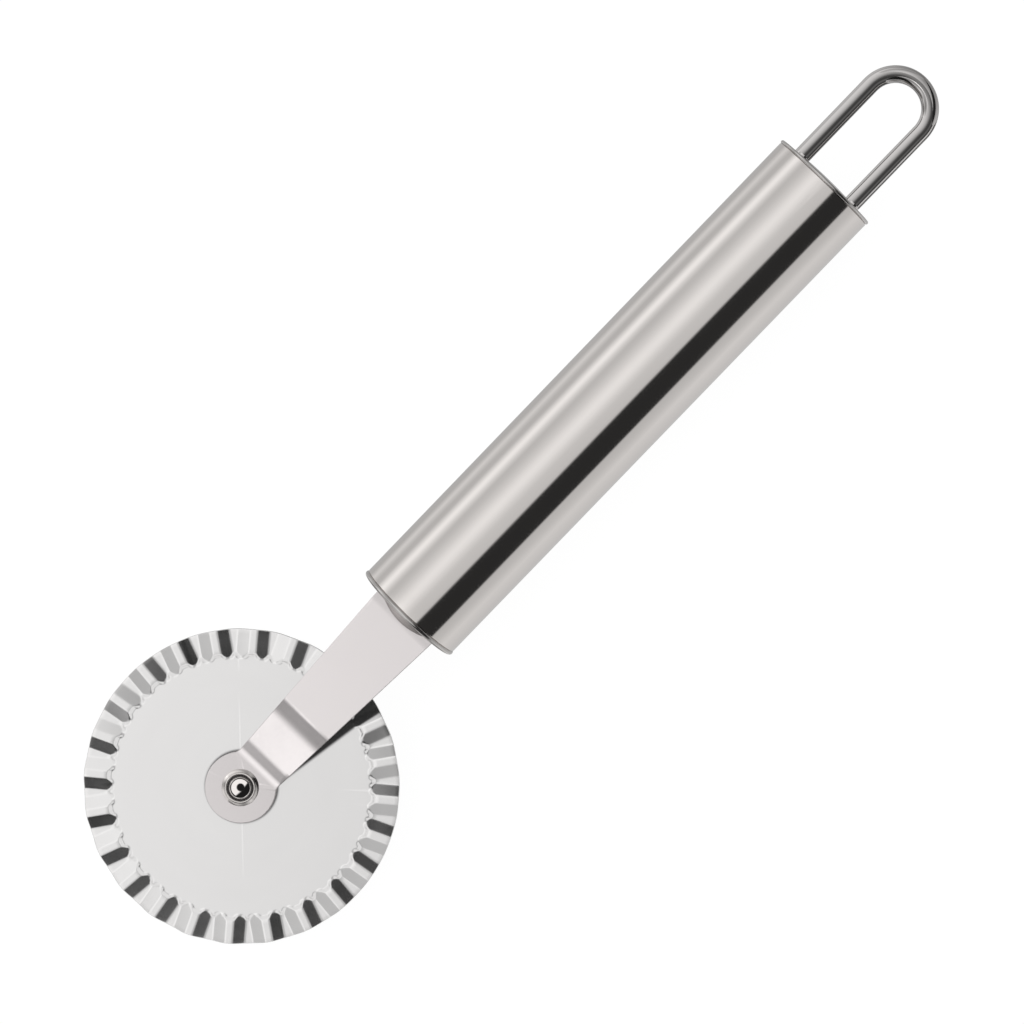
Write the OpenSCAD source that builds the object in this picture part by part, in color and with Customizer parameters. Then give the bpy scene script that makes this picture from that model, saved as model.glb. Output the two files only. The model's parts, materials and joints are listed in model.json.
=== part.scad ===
// Pastry cutter wheel: a fluted sheet-steel wheel that turns on a riveted axle between two fork
// leaves, on a round hollow handle with a wire hanging loop. Millimetres.
// Origin: middle of the grip, on the handle's axis. +X runs from the wheel to the loop, +Z along the axle.

/* [Wheel] */
// Radius of the wheel at its fluted rim
wheel_r = 27.2; // [24:0.1:28]
// Thickness of the wheel's sheet
wheel_t = 0.8; // [0.6:0.1:0.9]
// Number of flutes round the rim
flute_count = 24; // [20:1:26]
// Height of a flute's ridge above the wheel's middle plane
flute_h = 0.5; // [0.4:0.1:1.2]
// Radial length of a flute, from its rounded inner end to the rim
flute_l = 5.3; // [4:0.1:7]
// Half width of a ridge's flat top
ridge_half_w = 0.7; // [0.6:0.1:1]
// Width of the sloping wall between a ridge and a valley
flute_wall_w = 2; // [1.6:0.1:2.1]
// Angle of the first ridge from +X at rest
flute_phase = 9; // [0:0.5:14.5]

/* [Axle] */
// Diameter of the rivet's shank
shank_d = 3.0; // [2:0.1:3.4]
// Radius of the rivet's domed ends
rivet_head_r = 2.17; // [1.9:0.01:2.6]
// Height of each dome
rivet_head_h = 1.0; // [0.6:0.1:1.4]
// Outer diameter of the bush that the wheel turns on
bush_d = 5.2; // [4.4:0.1:6]
// Running clearance on radius between the bush and the wheel
run_gap = 0.05; // [0.02:0.01:0.1]
// Outer radius of the washer under each rivet end
rivet_washer_r = 3.2; // [2.8:0.1:4]
// Thickness of the washer under each rivet end
rivet_washer_t = 0.35; // [0.2:0.05:0.5]
// Outer radius of the thin washer on each side of the wheel
hub_washer_r = 4.6; // [3.6:0.1:5.6]
// Thickness of the thin washer on each side of the wheel
hub_washer_t = 0.3; // [0.2:0.05:0.5]

/* [Fork] */
// Thickness of each leaf's sheet
leaf_t = 0.9; // [0.7:0.1:1]
// Radius of the round ear that holds the axle
ear_r = 6.15; // [5.8:0.05:6.5]
// Width of a leaf at the neck, next to its ear
neck_w = 9.2; // [8.6:0.1:9.6]
// Width of a leaf where it enters the handle
root_w = 12.8; // [11:0.1:13]
// Radius of the concave corner between ear and neck
neck_fillet_r = 1.6; // [1:0.1:2]
// Distance of each leaf's middle plane from the handle's axis inside the handle
tang_z = 4.9; // [4.3:0.1:5]
// Length of leaf inside the handle
tang_l = 22; // [12:1:40]

/* [Handle] */
// Outer diameter of the handle tube
grip_d = 20; // [19.6:0.1:22]
// Length of the handle tube
grip_l = 101; // [80:1:120]
// Wall thickness of the tube
tube_wall = 0.7; // [0.5:0.1:0.7]
// Distance from the axle to the front end of the tube
hub_reach = 42.2; // [39:0.1:46]
// How far each cap's lip stands proud of the tube
lip_proud = 0.15; // [0.05:0.05:0.2]
// Thickness of the front cap's lip
front_lip_t = 0.85; // [0.6:0.05:1]
// Height of the front cap's rounded boss
boss_h = 2.6; // [2:0.1:3]
// Radius of the boss at its foot
boss_r = 7.5; // [7:0.1:8]
// Thickness of the rear cap's lip
rear_lip_t = 0.6; // [0.5:0.05:1]
// Height of the rear cap's shallow crown
crown_h = 0.5; // [0.3:0.1:0.8]
// Length of each cap's skirt inside the tube
skirt_l = 6; // [4:0.5:9]
// Sheet thickness of the caps
cap_t = 0.7; // [0.5:0.1:0.7]

/* [Hanging loop] */
// Diameter of the loop's wire
wire_d = 3.0; // [2.4:0.1:3.2]
// Distance between the centres of the loop's legs
leg_spacing = 11.7; // [10:0.1:12]
// Distance from the end of the tube to the centre of the loop's bend
loop_reach = 17.5; // [14:0.5:24]
// Length of wire inside the handle
leg_inside_l = 9; // [7:0.5:14]

/* [Hidden] */

$fn = 96;
eps = 0.01;
fit_gap = 0.02;
// How far a cutting shape runs past the surface that it cuts
over = 1;
// Length of shank buried in each of the rivet's domes
shank_bury = 0.2;
// Distance of the rear crown's foot from the edge of its lip
crown_inset = 1;
dome_fn = 720;
tube_front_x = -grip_l / 2;
tube_rear_x = grip_l / 2;
hub_x = tube_front_x - hub_reach;
lip_r = grip_d / 2 + lip_proud;
skirt_r = grip_d / 2 - tube_wall - fit_gap;
bush_r = bush_d / 2;
hub_bore_r = bush_r + run_gap;
// Heights above the wheel's middle plane, from the wheel outwards
washer_z = wheel_t / 2 + run_gap;
ear_z = washer_z + hub_washer_t + run_gap;
rivet_washer_z = ear_z + leaf_t;
rivet_head_z = rivet_washer_z + rivet_washer_t;

// Fork leaf, seen from the side: distance from the axle and share of the whole rise at each bend
rise = tang_z - (ear_z + leaf_t / 2);
bend_x = [4.7, 7.1, 14, 16.65, hub_reach - 2.4];
bend_rise = [0, 0.155, 0.4, 0.62, 1];
leaf_end_x = hub_reach + tang_l;
// Leaf, seen from the front: its tapered edges run from the fillet at the ear to the handle
neck_x = sqrt(pow(ear_r + neck_fillet_r, 2) - pow(neck_w / 2 + neck_fillet_r, 2));
root_x = hub_reach - 1.9;
fillet_steps = 8;

// Fluted rim: samples round one flute, and the rings from the flat web out to the rim
flute_steps = 8;
rim_cols = flute_count * flute_steps;
web_overlap = 0.3;
web_r = wheel_r - flute_l;
flute_end_l = 0.8;
ring_r = [web_r - web_overlap, web_r, web_r + flute_end_l / 2, web_r + flute_end_l, wheel_r];
ring_depth = [0, 0, 0.6, 1, 1];

// Height of the fluted sheet's middle surface, as a share of flute_h, at radius r and an angle from a ridge
function flute_wave(r, angle) =
    let (pitch = 360 / flute_count,
         off = abs((angle % pitch + 1.5 * pitch) % pitch - pitch / 2),
         across = r * off * PI / 180)
    min(1, max(-1, (ridge_half_w + flute_wall_w / 2 - across) / (flute_wall_w / 2)));

// Point of the fluted sheet on ring k, column c, on the face named by side (1 front, -1 rear)
function rim_point(k, c, side) =
    let (a = 360 * c / rim_cols)
    [ring_r[k] * cos(a + flute_phase), ring_r[k] * sin(a + flute_phase),
     ring_depth[k] * flute_h * flute_wave(ring_r[k], a) + side * wheel_t / 2];

// Index of that point in the rim's point list
function rim_index(k, c, side) = (side > 0 ? 0 : len(ring_r) * rim_cols) + k * rim_cols + c % rim_cols;

module axle_ring(r_out, r_in, z0, thickness) {
    translate([hub_x, 0, z0])
        difference() {
            cylinder(r = r_out, h = thickness);
            translate([0, 0, -over]) cylinder(r = r_in, h = thickness + 2 * over);
        }
}

// Cap of a sphere that stands on the XY plane, foot radius r and height h
module dome(r, h) {
    sphere_r = (r * r + h * h) / (2 * h);
    rotate_extrude()
        intersection() {
            translate([0, h - sphere_r]) circle(r = sphere_r, $fn = dome_fn);
            square([r + over, h + over]);
        }
}

module fluted_rim() {
    last = len(ring_r) - 1;
    points = [for (side = [1, -1], k = [0:last], c = [0:rim_cols - 1]) rim_point(k, c, side)];
    front = [for (k = [0:last - 1], c = [0:rim_cols - 1], half = [0, 1])
        half == 0 ? [rim_index(k, c, 1), rim_index(k, c + 1, 1), rim_index(k + 1, c, 1)]
                  : [rim_index(k, c + 1, 1), rim_index(k + 1, c + 1, 1), rim_index(k + 1, c, 1)]];
    rear = [for (k = [0:last - 1], c = [0:rim_cols - 1], half = [0, 1])
        half == 0 ? [rim_index(k, c, -1), rim_index(k + 1, c, -1), rim_index(k, c + 1, -1)]
                  : [rim_index(k, c + 1, -1), rim_index(k + 1, c, -1), rim_index(k + 1, c + 1, -1)]];
    edges = [for (c = [0:rim_cols - 1], half = [0, 1])
        half == 0 ? [rim_index(last, c, 1), rim_index(last, c + 1, 1), rim_index(last, c + 1, -1),
                     rim_index(last, c, -1)]
                  : [rim_index(0, c + 1, 1), rim_index(0, c, 1), rim_index(0, c, -1),
                     rim_index(0, c + 1, -1)]];
    polyhedron(points = points, faces = concat(front, rear, edges), convexity = 10);
}

module cutter_wheel() {
    color("gainsboro")
        translate([hub_x, 0, 0]) {
            difference() {
                translate([0, 0, -wheel_t / 2]) cylinder(r = web_r - web_overlap / 2, h = wheel_t);
                translate([0, 0, -wheel_t]) cylinder(r = hub_bore_r, h = 2 * wheel_t);
            }
            fluted_rim();
        }
}

module hub_bush() {
    color("darkgray")
        axle_ring(bush_r, shank_d / 2, -ear_z + eps, 2 * (ear_z - eps));
}

module hub_washer() {
    color("silver")
        axle_ring(hub_washer_r, hub_bore_r, washer_z, hub_washer_t);
}

module rivet_washer() {
    color("lightgray")
        axle_ring(rivet_washer_r, shank_d / 2, rivet_washer_z + eps, rivet_washer_t);
}

module axle_rivet() {
    color("whitesmoke")
        translate([hub_x, 0, 0]) {
            cylinder(r = shank_d / 2 - eps, h = 2 * (rivet_head_z + shank_bury), center = true);
            for (side = [0, 1])
                mirror([0, 0, side])
                    translate([0, 0, rivet_head_z + 2 * eps]) dome(rivet_head_r, rivet_head_h);
        }
}

// Leaf cut flat and extra thick, axle at the origin: round ear, fillets and tapered strip
module leaf_blank() {
    blank_h = tang_z + leaf_t;
    buried_half_w = 0.45 * neck_w;
    centre = [neck_x, neck_w / 2 + neck_fillet_r];
    first_a = atan2(-centre[1], -centre[0]);
    corner = [for (i = [1:fillet_steps])
        let (a = first_a + (-90 - first_a) * i / fillet_steps)
        centre + neck_fillet_r * [cos(a), sin(a)]];
    upper = concat([[0, buried_half_w]], corner, [[root_x, root_w / 2], [leaf_end_x, root_w / 2]]);
    lower = [for (i = [len(upper) - 1:-1:0]) [upper[i][0], -upper[i][1]]];
    difference() {
        union() {
            cylinder(r = ear_r, h = blank_h);
            linear_extrude(height = blank_h) polygon(concat(upper, lower));
        }
        translate([0, 0, -over]) cylinder(r = shank_d / 2, h = blank_h + 2 * over);
    }
}

// Side view of a leaf's sheet, thickness leaf_t, with its two joggles
module leaf_profile() {
    bends = [for (i = [0:len(bend_x) - 1]) [bend_x[i], ear_z + bend_rise[i] * rise]];
    lower = concat([[-ear_r - over, ear_z]], bends, [[leaf_end_x, ear_z + rise]]);
    upper = [for (i = [len(lower) - 1:-1:0]) lower[i] + [0, leaf_t]];
    polygon(concat(lower, upper));
}

module fork_leaf() {
    color("silver")
        translate([hub_x, 0, 0])
            intersection() {
                leaf_blank();
                rotate([90, 0, 0]) linear_extrude(height = root_w + 2 * over, center = true) leaf_profile();
            }
}

// Slots that let the two leaves through the front cap
module leaf_slots() {
    slot_depth = 3 * boss_h;
    for (side = [-1, 1])
        translate([-front_lip_t, 0, side * tang_z])
            cube([slot_depth, root_w + 2 * fit_gap, leaf_t + 2 * fit_gap], center = true);
}

// Pressed ring that grips the inside of the tube, along +X from the origin
module skirt() {
    rotate([0, 90, 0])
        difference() {
            cylinder(r = skirt_r, h = skirt_l);
            translate([0, 0, -over]) cylinder(r = skirt_r - cap_t, h = skirt_l + 2 * over);
        }
}

// Lip, hollow rounded boss and skirt, its inner face against the end of the tube
module front_cap() {
    color("lightgray")
        translate([tube_front_x - eps, 0, 0])
            difference() {
                union() {
                    rotate([0, -90, 0]) cylinder(r = lip_r, h = front_lip_t);
                    translate([-front_lip_t + eps, 0, 0]) rotate([0, -90, 0]) dome(boss_r, boss_h);
                    skirt();
                }
                translate([cap_t, 0, 0]) rotate([0, -90, 0]) cylinder(r = boss_r - cap_t, h = front_lip_t);
                translate([cap_t - front_lip_t + 2 * eps, 0, 0])
                    rotate([0, -90, 0]) dome(boss_r - cap_t, boss_h - eps);
                leaf_slots();
            }
}

module handle_tube() {
    color("silver")
        rotate([0, 90, 0])
            difference() {
                cylinder(r = grip_d / 2, h = grip_l, center = true);
                cylinder(r = grip_d / 2 - tube_wall, h = grip_l + 2 * over, center = true);
            }
}

// Lip, shallow crown and skirt, with a hole for each leg of the loop
module rear_cap() {
    color("lightgray")
        translate([tube_rear_x + eps, 0, 0])
            difference() {
                union() {
                    rotate([0, 90, 0]) cylinder(r = lip_r, h = rear_lip_t);
                    translate([rear_lip_t - eps, 0, 0]) rotate([0, 90, 0]) dome(lip_r - crown_inset, crown_h);
                    mirror([1, 0, 0]) skirt();
                }
                for (side = [-1, 1])
                    translate([-over, side * leg_spacing / 2, 0])
                        rotate([0, 90, 0])
                            cylinder(r = wire_d / 2 + fit_gap, h = rear_lip_t + crown_h + 2 * over);
            }
}

module hanging_loop() {
    bend_centre_x = tube_rear_x + loop_reach;
    color("gainsboro") {
        for (side = [-1, 1])
            translate([tube_rear_x - leg_inside_l, side * leg_spacing / 2, 0])
                rotate([0, 90, 0]) cylinder(d = wire_d, h = leg_inside_l + loop_reach);
        translate([bend_centre_x, 0, 0])
            rotate([0, 0, -90])
                rotate_extrude(angle = 180) translate([leg_spacing / 2, 0]) circle(d = wire_d);
    }
}

cutter_wheel();
hub_bush();
hub_washer();  // front_hub_washer
mirror([0, 0, 1]) hub_washer();  // rear_hub_washer
axle_rivet();
rivet_washer();  // front_rivet_washer
mirror([0, 0, 1]) rivet_washer();  // rear_rivet_washer
fork_leaf();  // front_fork_leaf
mirror([0, 0, 1]) fork_leaf();  // rear_fork_leaf
front_cap();
handle_tube();
rear_cap();
hanging_loop();
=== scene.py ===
"""Looks of a pastry cutter wheel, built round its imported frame.

Lengths are millimetres in the shape functions and become metres in new_mesh(). Shader trees work in
metres. +X runs from the wheel to the hanging loop along the handle's axis, and +Z runs along the axle
towards the viewer.
"""

import json
import math

import bmesh
import bpy
from mathutils import Matrix, Vector


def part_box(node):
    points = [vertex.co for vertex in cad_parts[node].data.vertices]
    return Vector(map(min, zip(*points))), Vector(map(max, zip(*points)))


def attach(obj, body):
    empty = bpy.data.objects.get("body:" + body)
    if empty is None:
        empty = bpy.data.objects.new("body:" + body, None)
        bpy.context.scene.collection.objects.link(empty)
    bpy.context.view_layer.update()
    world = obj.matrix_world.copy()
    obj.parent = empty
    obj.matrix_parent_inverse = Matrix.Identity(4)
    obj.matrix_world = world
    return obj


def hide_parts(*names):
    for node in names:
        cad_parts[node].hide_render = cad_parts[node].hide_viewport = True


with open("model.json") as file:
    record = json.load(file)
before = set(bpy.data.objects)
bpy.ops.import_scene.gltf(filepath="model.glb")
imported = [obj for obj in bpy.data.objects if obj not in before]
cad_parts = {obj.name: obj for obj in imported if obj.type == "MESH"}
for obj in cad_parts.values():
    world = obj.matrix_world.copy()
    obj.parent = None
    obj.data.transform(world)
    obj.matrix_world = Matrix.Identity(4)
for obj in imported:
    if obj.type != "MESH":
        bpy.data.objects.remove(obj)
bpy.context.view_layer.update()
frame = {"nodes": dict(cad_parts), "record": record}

MM = 0.001
NODE_BODY = {node: body for body, nodes in frame["record"]["behaviour"]["bodies"].items() for node in nodes}


def box_mm(node):
    """Lowest and highest corner of a CAD node, in millimetres."""
    low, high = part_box(node)
    return low / MM, high / MM


# Places and outer sizes, all from the frame
RIVET_LOW, RIVET_HIGH = box_mm("axle_rivet")
WHEEL_LOW, WHEEL_HIGH = box_mm("cutter_wheel")
LEAF_LOW, LEAF_HIGH = box_mm("front_fork_leaf")
TUBE_LOW, TUBE_HIGH = box_mm("handle_tube")
FRONT_CAP_LOW, FRONT_CAP_HIGH = box_mm("front_cap")
REAR_CAP_LOW, REAR_CAP_HIGH = box_mm("rear_cap")
LOOP_LOW, LOOP_HIGH = box_mm("hanging_loop")
RING_LOW, RING_HIGH = box_mm("front_rivet_washer")
BUSH_LOW, BUSH_HIGH = box_mm("hub_bush")
HUB_X = (RIVET_LOW.x + RIVET_HIGH.x) / 2
TUBE_R = TUBE_HIGH.z

# Fluted wheel: sheet, flutes with their rounded inner ends, ridges and the walls between them
WHEEL_R = (WHEEL_HIGH.x - WHEEL_LOW.x) / 2
WHEEL_T = 0.8
FLUTE_COUNT = 24
FLUTE_PHASE = math.radians(9)
FLUTE_H = WHEEL_HIGH.z - WHEEL_T / 2
FLUTE_L = 5.3
FLUTE_RUNOUT = 0.8
FLUTE_END_ROUNDING = 0.6
RIDGE_HALF_W = 0.7
FLUTE_WALL_W = 2.0
FLUTE_CORNER = 0.2
RUN_GAP = 0.05
STEPS_PER_FLUTE = 36

# Fork leaf. Bends: distance from the axle, share of the whole rise, half length of the rounding
LEAF_T = 0.9
LEAF_BENDS = ((4.7, 0, 0.8), (7.1, 0.155, 0.4), (14.0, 0.4, 1.0), (16.65, 0.62, 0.4), (39.8, 1, 0.4))
NECK_HALF_W = 4.6
NECK_FILLET_R = 1.6
ROOT_SETBACK = 1.9
SHANK_R = 1.5
EDGE_R = 0.12

# Handle, caps and axle
TUBE_WALL = 0.7
CAP_T = 0.7
FRONT_LIP_T = 0.85
REAR_LIP_T = 0.6
BOSS_R = 7.5
SKIRT_R = 9.28
CROWN_INSET = 1.0
WIRE_R = LOOP_HIGH.z
RIVET_DOME_R = 1.95
BEAD_R = 2.48
BEAD_HALF_W = 0.19
HOLE_GAP = 0.02

# Sides of the polygons that stand for circles
TUBE_STEPS = 192
CAP_STEPS = 144
AXLE_STEPS = 96
HOLE_STEPS = 48


# ---------------------------------------------------------------- mesh helpers

def arc(centre, radius, start, end, steps):
    """Points of an arc in a plane, both ends included. Angles in degrees."""
    angles = [math.radians(start + (end - start) * i / steps) for i in range(steps + 1)]
    return [(centre[0] + radius * math.cos(a), centre[1] + radius * math.sin(a)) for a in angles]


def dome_arc(foot_r, height):
    """Outline of a spherical cap from its foot to its top, as (radius, height)."""
    steps = 24
    sphere_r = (foot_r ** 2 + height ** 2) / (2 * height)
    widest = math.asin(min(1, foot_r / sphere_r))
    angles = [widest * (1 - i / steps) for i in range(steps + 1)]
    return [(sphere_r * math.sin(a), height - sphere_r * (1 - math.cos(a))) for a in angles]


def lathe(outline, steps):
    """Vertices and faces of a closed outline of (radius, height) turned round the Z axis."""
    count = len(outline)
    verts = []
    faces = []
    for i in range(steps):
        angle = 2 * math.pi * i / steps
        verts += [(r * math.cos(angle), r * math.sin(angle), h) for r, h in outline]
        here = i * count
        there = (i + 1) % steps * count
        for j in range(count):
            k = (j + 1) % count
            faces.append((here + j, here + k, there + k, there + j))
    return verts, faces


def along_x(verts, x0=0.0, direction=1):
    """Turns vertices made round Z so that they lie round X, starting at x0."""
    return [(x0 + direction * z, y, -direction * x) for x, y, z in verts]


def new_mesh(name, verts, faces):
    """A mesh from vertices in millimetres."""
    mesh = bpy.data.meshes.new(name)
    mesh.from_pydata([Vector(v) * MM for v in verts], [], faces)
    return mesh


def new_object(name, data):
    """An object with that mesh or camera, in the scene."""
    thing = bpy.data.objects.new(name, data)
    bpy.context.scene.collection.objects.link(thing)
    return thing


def add_piece(name, shape, material, node):
    """Makes a piece that stands for a CAD node, and rides it on that node's body."""
    verts, faces = shape
    mesh = new_mesh(name, verts, faces)
    clean_mesh(mesh)
    mesh.materials.append(material)
    piece = new_object(name, mesh)
    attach(piece, NODE_BODY[node])
    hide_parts(node)
    return piece


def clean_mesh(mesh):
    """Joins the points that meet at a pole and turns all faces outwards."""
    merge_distance = 1e-7
    bm = bmesh.new()
    bm.from_mesh(mesh)
    bmesh.ops.remove_doubles(bm, verts=bm.verts, dist=merge_distance)
    bmesh.ops.recalc_face_normals(bm, faces=bm.faces)
    bm.to_mesh(mesh)
    bm.free()


def smooth(piece):
    """Smooth shading that keeps flat faces flat."""
    sharp_angle = math.radians(50)
    piece.data.shade_smooth()
    piece.data.set_sharp_from_angle(angle=sharp_angle)
    weighted = piece.modifiers.new("even_normals", "WEIGHTED_NORMAL")
    weighted.keep_sharp = True


def cut(piece, cutter_shapes):
    """Cuts closed shapes out of a piece."""
    for verts, faces in cutter_shapes:
        mesh = new_mesh("cutter", verts, faces)
        clean_mesh(mesh)
        cutter = new_object("cutter", mesh)
        modifier = piece.modifiers.new("cut", "BOOLEAN")
        modifier.object = cutter
        modifier.solver = "EXACT"
        bpy.context.view_layer.update()
        evaluated = piece.evaluated_get(bpy.context.evaluated_depsgraph_get())
        result = bpy.data.meshes.new_from_object(evaluated)
        piece.modifiers.remove(modifier)
        piece.data = result
        bpy.data.objects.remove(cutter)


def block(low, high):
    """A closed box between two corners."""
    corners = [(x, y, z) for x in (low[0], high[0]) for y in (low[1], high[1]) for z in (low[2], high[2])]
    faces = [(0, 1, 3, 2), (4, 6, 7, 5), (0, 4, 5, 1), (2, 3, 7, 6), (0, 2, 6, 4), (1, 5, 7, 3)]
    return corners, faces


# ---------------------------------------------------------------- shapes

def soft_clamp(value, softness):
    """Value held between -1 and 1, with rounded corners of that half length."""
    size = abs(value)
    if size >= 1 + softness:
        size = 1
    elif size > 1 - softness:
        size -= (size - 1 + softness) ** 2 / (4 * softness)
    return math.copysign(size, value)


def flute_height(radius, angle):
    """Height of the pressed sheet's middle surface, in millimetres. The inner end of each ridge and
    valley is a short, rounded slope down to the flat web."""
    pitch = 2 * math.pi / FLUTE_COUNT
    off = abs((angle - FLUTE_PHASE + pitch / 2) % pitch - pitch / 2)
    wall = (RIDGE_HALF_W + FLUTE_WALL_W / 2 - radius * off) / (FLUTE_WALL_W / 2)
    wave = soft_clamp(wall, FLUTE_CORNER)
    start_r = WHEEL_R - FLUTE_L + FLUTE_END_ROUNDING * wave ** 4
    share = min(1, max(0, (radius - start_r) / FLUTE_RUNOUT))
    return FLUTE_H * wave * share * share * (3 - 2 * share)


def wheel_rings():
    """Radius and half thickness of each ring of the wheel, from the bore to the rim."""
    half = WHEEL_T / 2
    bore_r = BUSH_HIGH.y + RUN_GAP
    bore_edge = 0.1
    web_r = WHEEL_R - FLUTE_L
    web_divisions = (6, 12, 18)
    rim_start = WHEEL_R - 0.12
    rim_rounding = ((0.04, 0.01), (0, 0.05))
    rings = [(bore_r, half - bore_edge), (bore_r + bore_edge, half)]
    rings += [(radius, half) for radius in web_divisions]
    runout = FLUTE_RUNOUT + FLUTE_END_ROUNDING
    runout_steps = 14
    rings += [(web_r + runout * i / runout_steps, half) for i in range(runout_steps + 1)]
    straight = rim_start - (web_r + runout)
    straight_steps = 6
    rings += [(web_r + runout + straight * i / straight_steps, half) for i in range(1, straight_steps + 1)]
    rings += [(WHEEL_R - inward, half - lower) for inward, lower in rim_rounding]
    return rings


def fluted_wheel():
    """The front and the rear surface of the wheel, joined at the rim and at the bore."""
    rings = wheel_rings()
    columns = FLUTE_COUNT * STEPS_PER_FLUTE
    verts = []
    for side in (1, -1):
        for radius, half in rings:
            for c in range(columns):
                angle = 2 * math.pi * c / columns
                z = flute_height(radius, angle) + side * half
                verts.append((HUB_X + radius * math.cos(angle), radius * math.sin(angle), z))
    last = len(rings) - 1

    def index(side, ring, column):
        return (side * len(rings) + ring) * columns + column % columns

    faces = []
    for c in range(columns):
        for k in range(last):
            faces.append((index(0, k, c), index(0, k + 1, c), index(0, k + 1, c + 1), index(0, k, c + 1)))
            faces.append((index(1, k, c), index(1, k, c + 1), index(1, k + 1, c + 1), index(1, k + 1, c)))
        faces.append((index(0, last, c), index(1, last, c), index(1, last, c + 1), index(0, last, c + 1)))
        faces.append((index(0, 0, c), index(0, 0, c + 1), index(1, 0, c + 1), index(1, 0, c)))
    return verts, faces


def leaf_rise(x):
    """Rise of a leaf at distance x from the axle, with each bend rounded by a parabola."""
    whole = LEAF_HIGH.z - LEAF_LOW.z - LEAF_T
    height = 0.0
    slope = 0.0
    for i, (bend_x, share, half) in enumerate(LEAF_BENDS):
        if i + 1 < len(LEAF_BENDS):
            next_x, next_share, _ = LEAF_BENDS[i + 1]
            next_slope = (next_share - share) * whole / (next_x - bend_x)
        else:
            next_slope = 0.0
        change = next_slope - slope
        slope = next_slope
        past = x - bend_x
        if past >= half:
            height += change * past
        elif past > -half:
            height += change * (past + half) ** 2 / (4 * half)
    return height


def leaf_outline():
    """Outline of a leaf in its plane, axle at the origin: round ear, fillets and tapered strip."""
    fillet_steps = 8
    ear_steps = 40
    ear_r = HUB_X - LEAF_LOW.x
    root_half_w = LEAF_HIGH.y
    root_x = TUBE_LOW.x - HUB_X - ROOT_SETBACK
    end_x = LEAF_HIGH.x - HUB_X
    fillet_y = NECK_HALF_W + NECK_FILLET_R
    fillet_x = math.sqrt((ear_r + NECK_FILLET_R) ** 2 - fillet_y ** 2)
    touch = math.degrees(math.atan2(fillet_y, fillet_x))
    half = [(end_x, root_half_w), (root_x, root_half_w)]
    half += arc((fillet_x, fillet_y), NECK_FILLET_R, -90, touch - 180, fillet_steps)
    half += arc((0, 0), ear_r, touch, 180, ear_steps)[1:]
    return half + [(x, -y) for x, y in reversed(half[:-1])]


def inset(points, distance):
    """The closed outline moved to the left of its direction: inwards if it runs anticlockwise."""
    least_cosine = 0.5
    moved = []
    for i, (x, y) in enumerate(points):
        before = Vector(points[i - 1])
        after = Vector(points[(i + 1) % len(points)])
        here = Vector((x, y))
        into = (here - before).normalized()
        out = (after - here).normalized()
        normal = Vector((-into.y - out.y, into.x + out.x)).normalized()
        cosine = max(least_cosine, normal.dot(Vector((-into.y, into.x))))
        moved.append(tuple(here + normal * distance / cosine))
    return moved


def add_ring(bm, points, z):
    """Vertices at the points, all at height z."""
    return [bm.verts.new((x, y, z)) for x, y in points]


def rounded_wall(bm, outline, thickness):
    """Side wall of a plate with rounded edges. Returns the edges of its lowest and its highest ring."""
    steps = 4
    turns = [math.pi / 2 * i / steps for i in range(steps + 1)]
    low = [(EDGE_R * (1 - math.sin(a)), EDGE_R * (1 - math.cos(a))) for a in turns]
    sections = low + [(inward, thickness - z) for inward, z in reversed(low)]
    rings = [add_ring(bm, inset(outline, inward), z) for inward, z in sections]
    count = len(outline)
    for lower, upper in zip(rings, rings[1:]):
        for i in range(count):
            k = (i + 1) % count
            bm.faces.new((lower[i], lower[k], upper[k], upper[i]))
    ends = []
    for ring in (rings[0], rings[-1]):
        ends.append([bm.edges.get((ring[i], ring[(i + 1) % count])) for i in range(count)])
    return ends


def fork_leaf(side):
    """A leaf on the front (side 1) or the rear (side -1) of the wheel."""
    bm = bmesh.new()
    outer = rounded_wall(bm, leaf_outline(), LEAF_T)
    hole = rounded_wall(bm, arc((0, 0), SHANK_R, 360, 0, HOLE_STEPS)[:-1], LEAF_T)
    for outer_edges, hole_edges in zip(outer, hole):
        bmesh.ops.triangle_fill(bm, edges=outer_edges + hole_edges, use_beauty=True)
    for x in leaf_stations():
        everything = bm.verts[:] + bm.edges[:] + bm.faces[:]
        bmesh.ops.bisect_plane(bm, geom=everything, plane_co=(x, 0, 0), plane_no=(1, 0, 0))
    for vert in bm.verts:
        vert.co.z = side * (vert.co.z + LEAF_LOW.z + leaf_rise(vert.co.x))
        vert.co.x += HUB_X
    bm.verts.index_update()
    verts = [tuple(v.co) for v in bm.verts]
    faces = [tuple(v.index for v in f.verts) for f in bm.faces]
    bm.free()
    return verts, faces


def leaf_stations():
    """Distances from the axle where a leaf's mesh is divided: closely at each bend, less on the raised
    panel between the second and the third bend, and least on the long strip."""
    half_steps = 5
    panel_start = 7.5
    panel_divisions = 5
    strip_start = 18
    strip_spacing = 2
    strip_divisions = int((LEAF_HIGH.x - HUB_X - strip_start) / strip_spacing)
    stations = []
    for bend_x, _, half in LEAF_BENDS:
        stations += [bend_x + half * i / half_steps for i in range(-half_steps, half_steps + 1)]
    stations += [panel_start + i for i in range(panel_divisions)]
    stations += [strip_start + strip_spacing * i for i in range(strip_divisions)]
    return stations


def handle_tube():
    """Round tube with small bevels at its outer ends, divided along its length."""
    inner_r = TUBE_R - TUBE_WALL
    edge = 0.15
    half_l = TUBE_HIGH.x
    outline = [(TUBE_R - edge, -half_l), (TUBE_R, -half_l + edge)]
    sections = 24
    straight = 2 * half_l - 2 * edge
    outline += [(TUBE_R, -half_l + edge + straight * i / sections) for i in range(1, sections)]
    outline += [(TUBE_R, half_l - edge), (TUBE_R - edge, half_l), (inner_r, half_l), (inner_r, -half_l)]
    verts, faces = lathe(outline, TUBE_STEPS)
    return along_x(verts), faces


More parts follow.
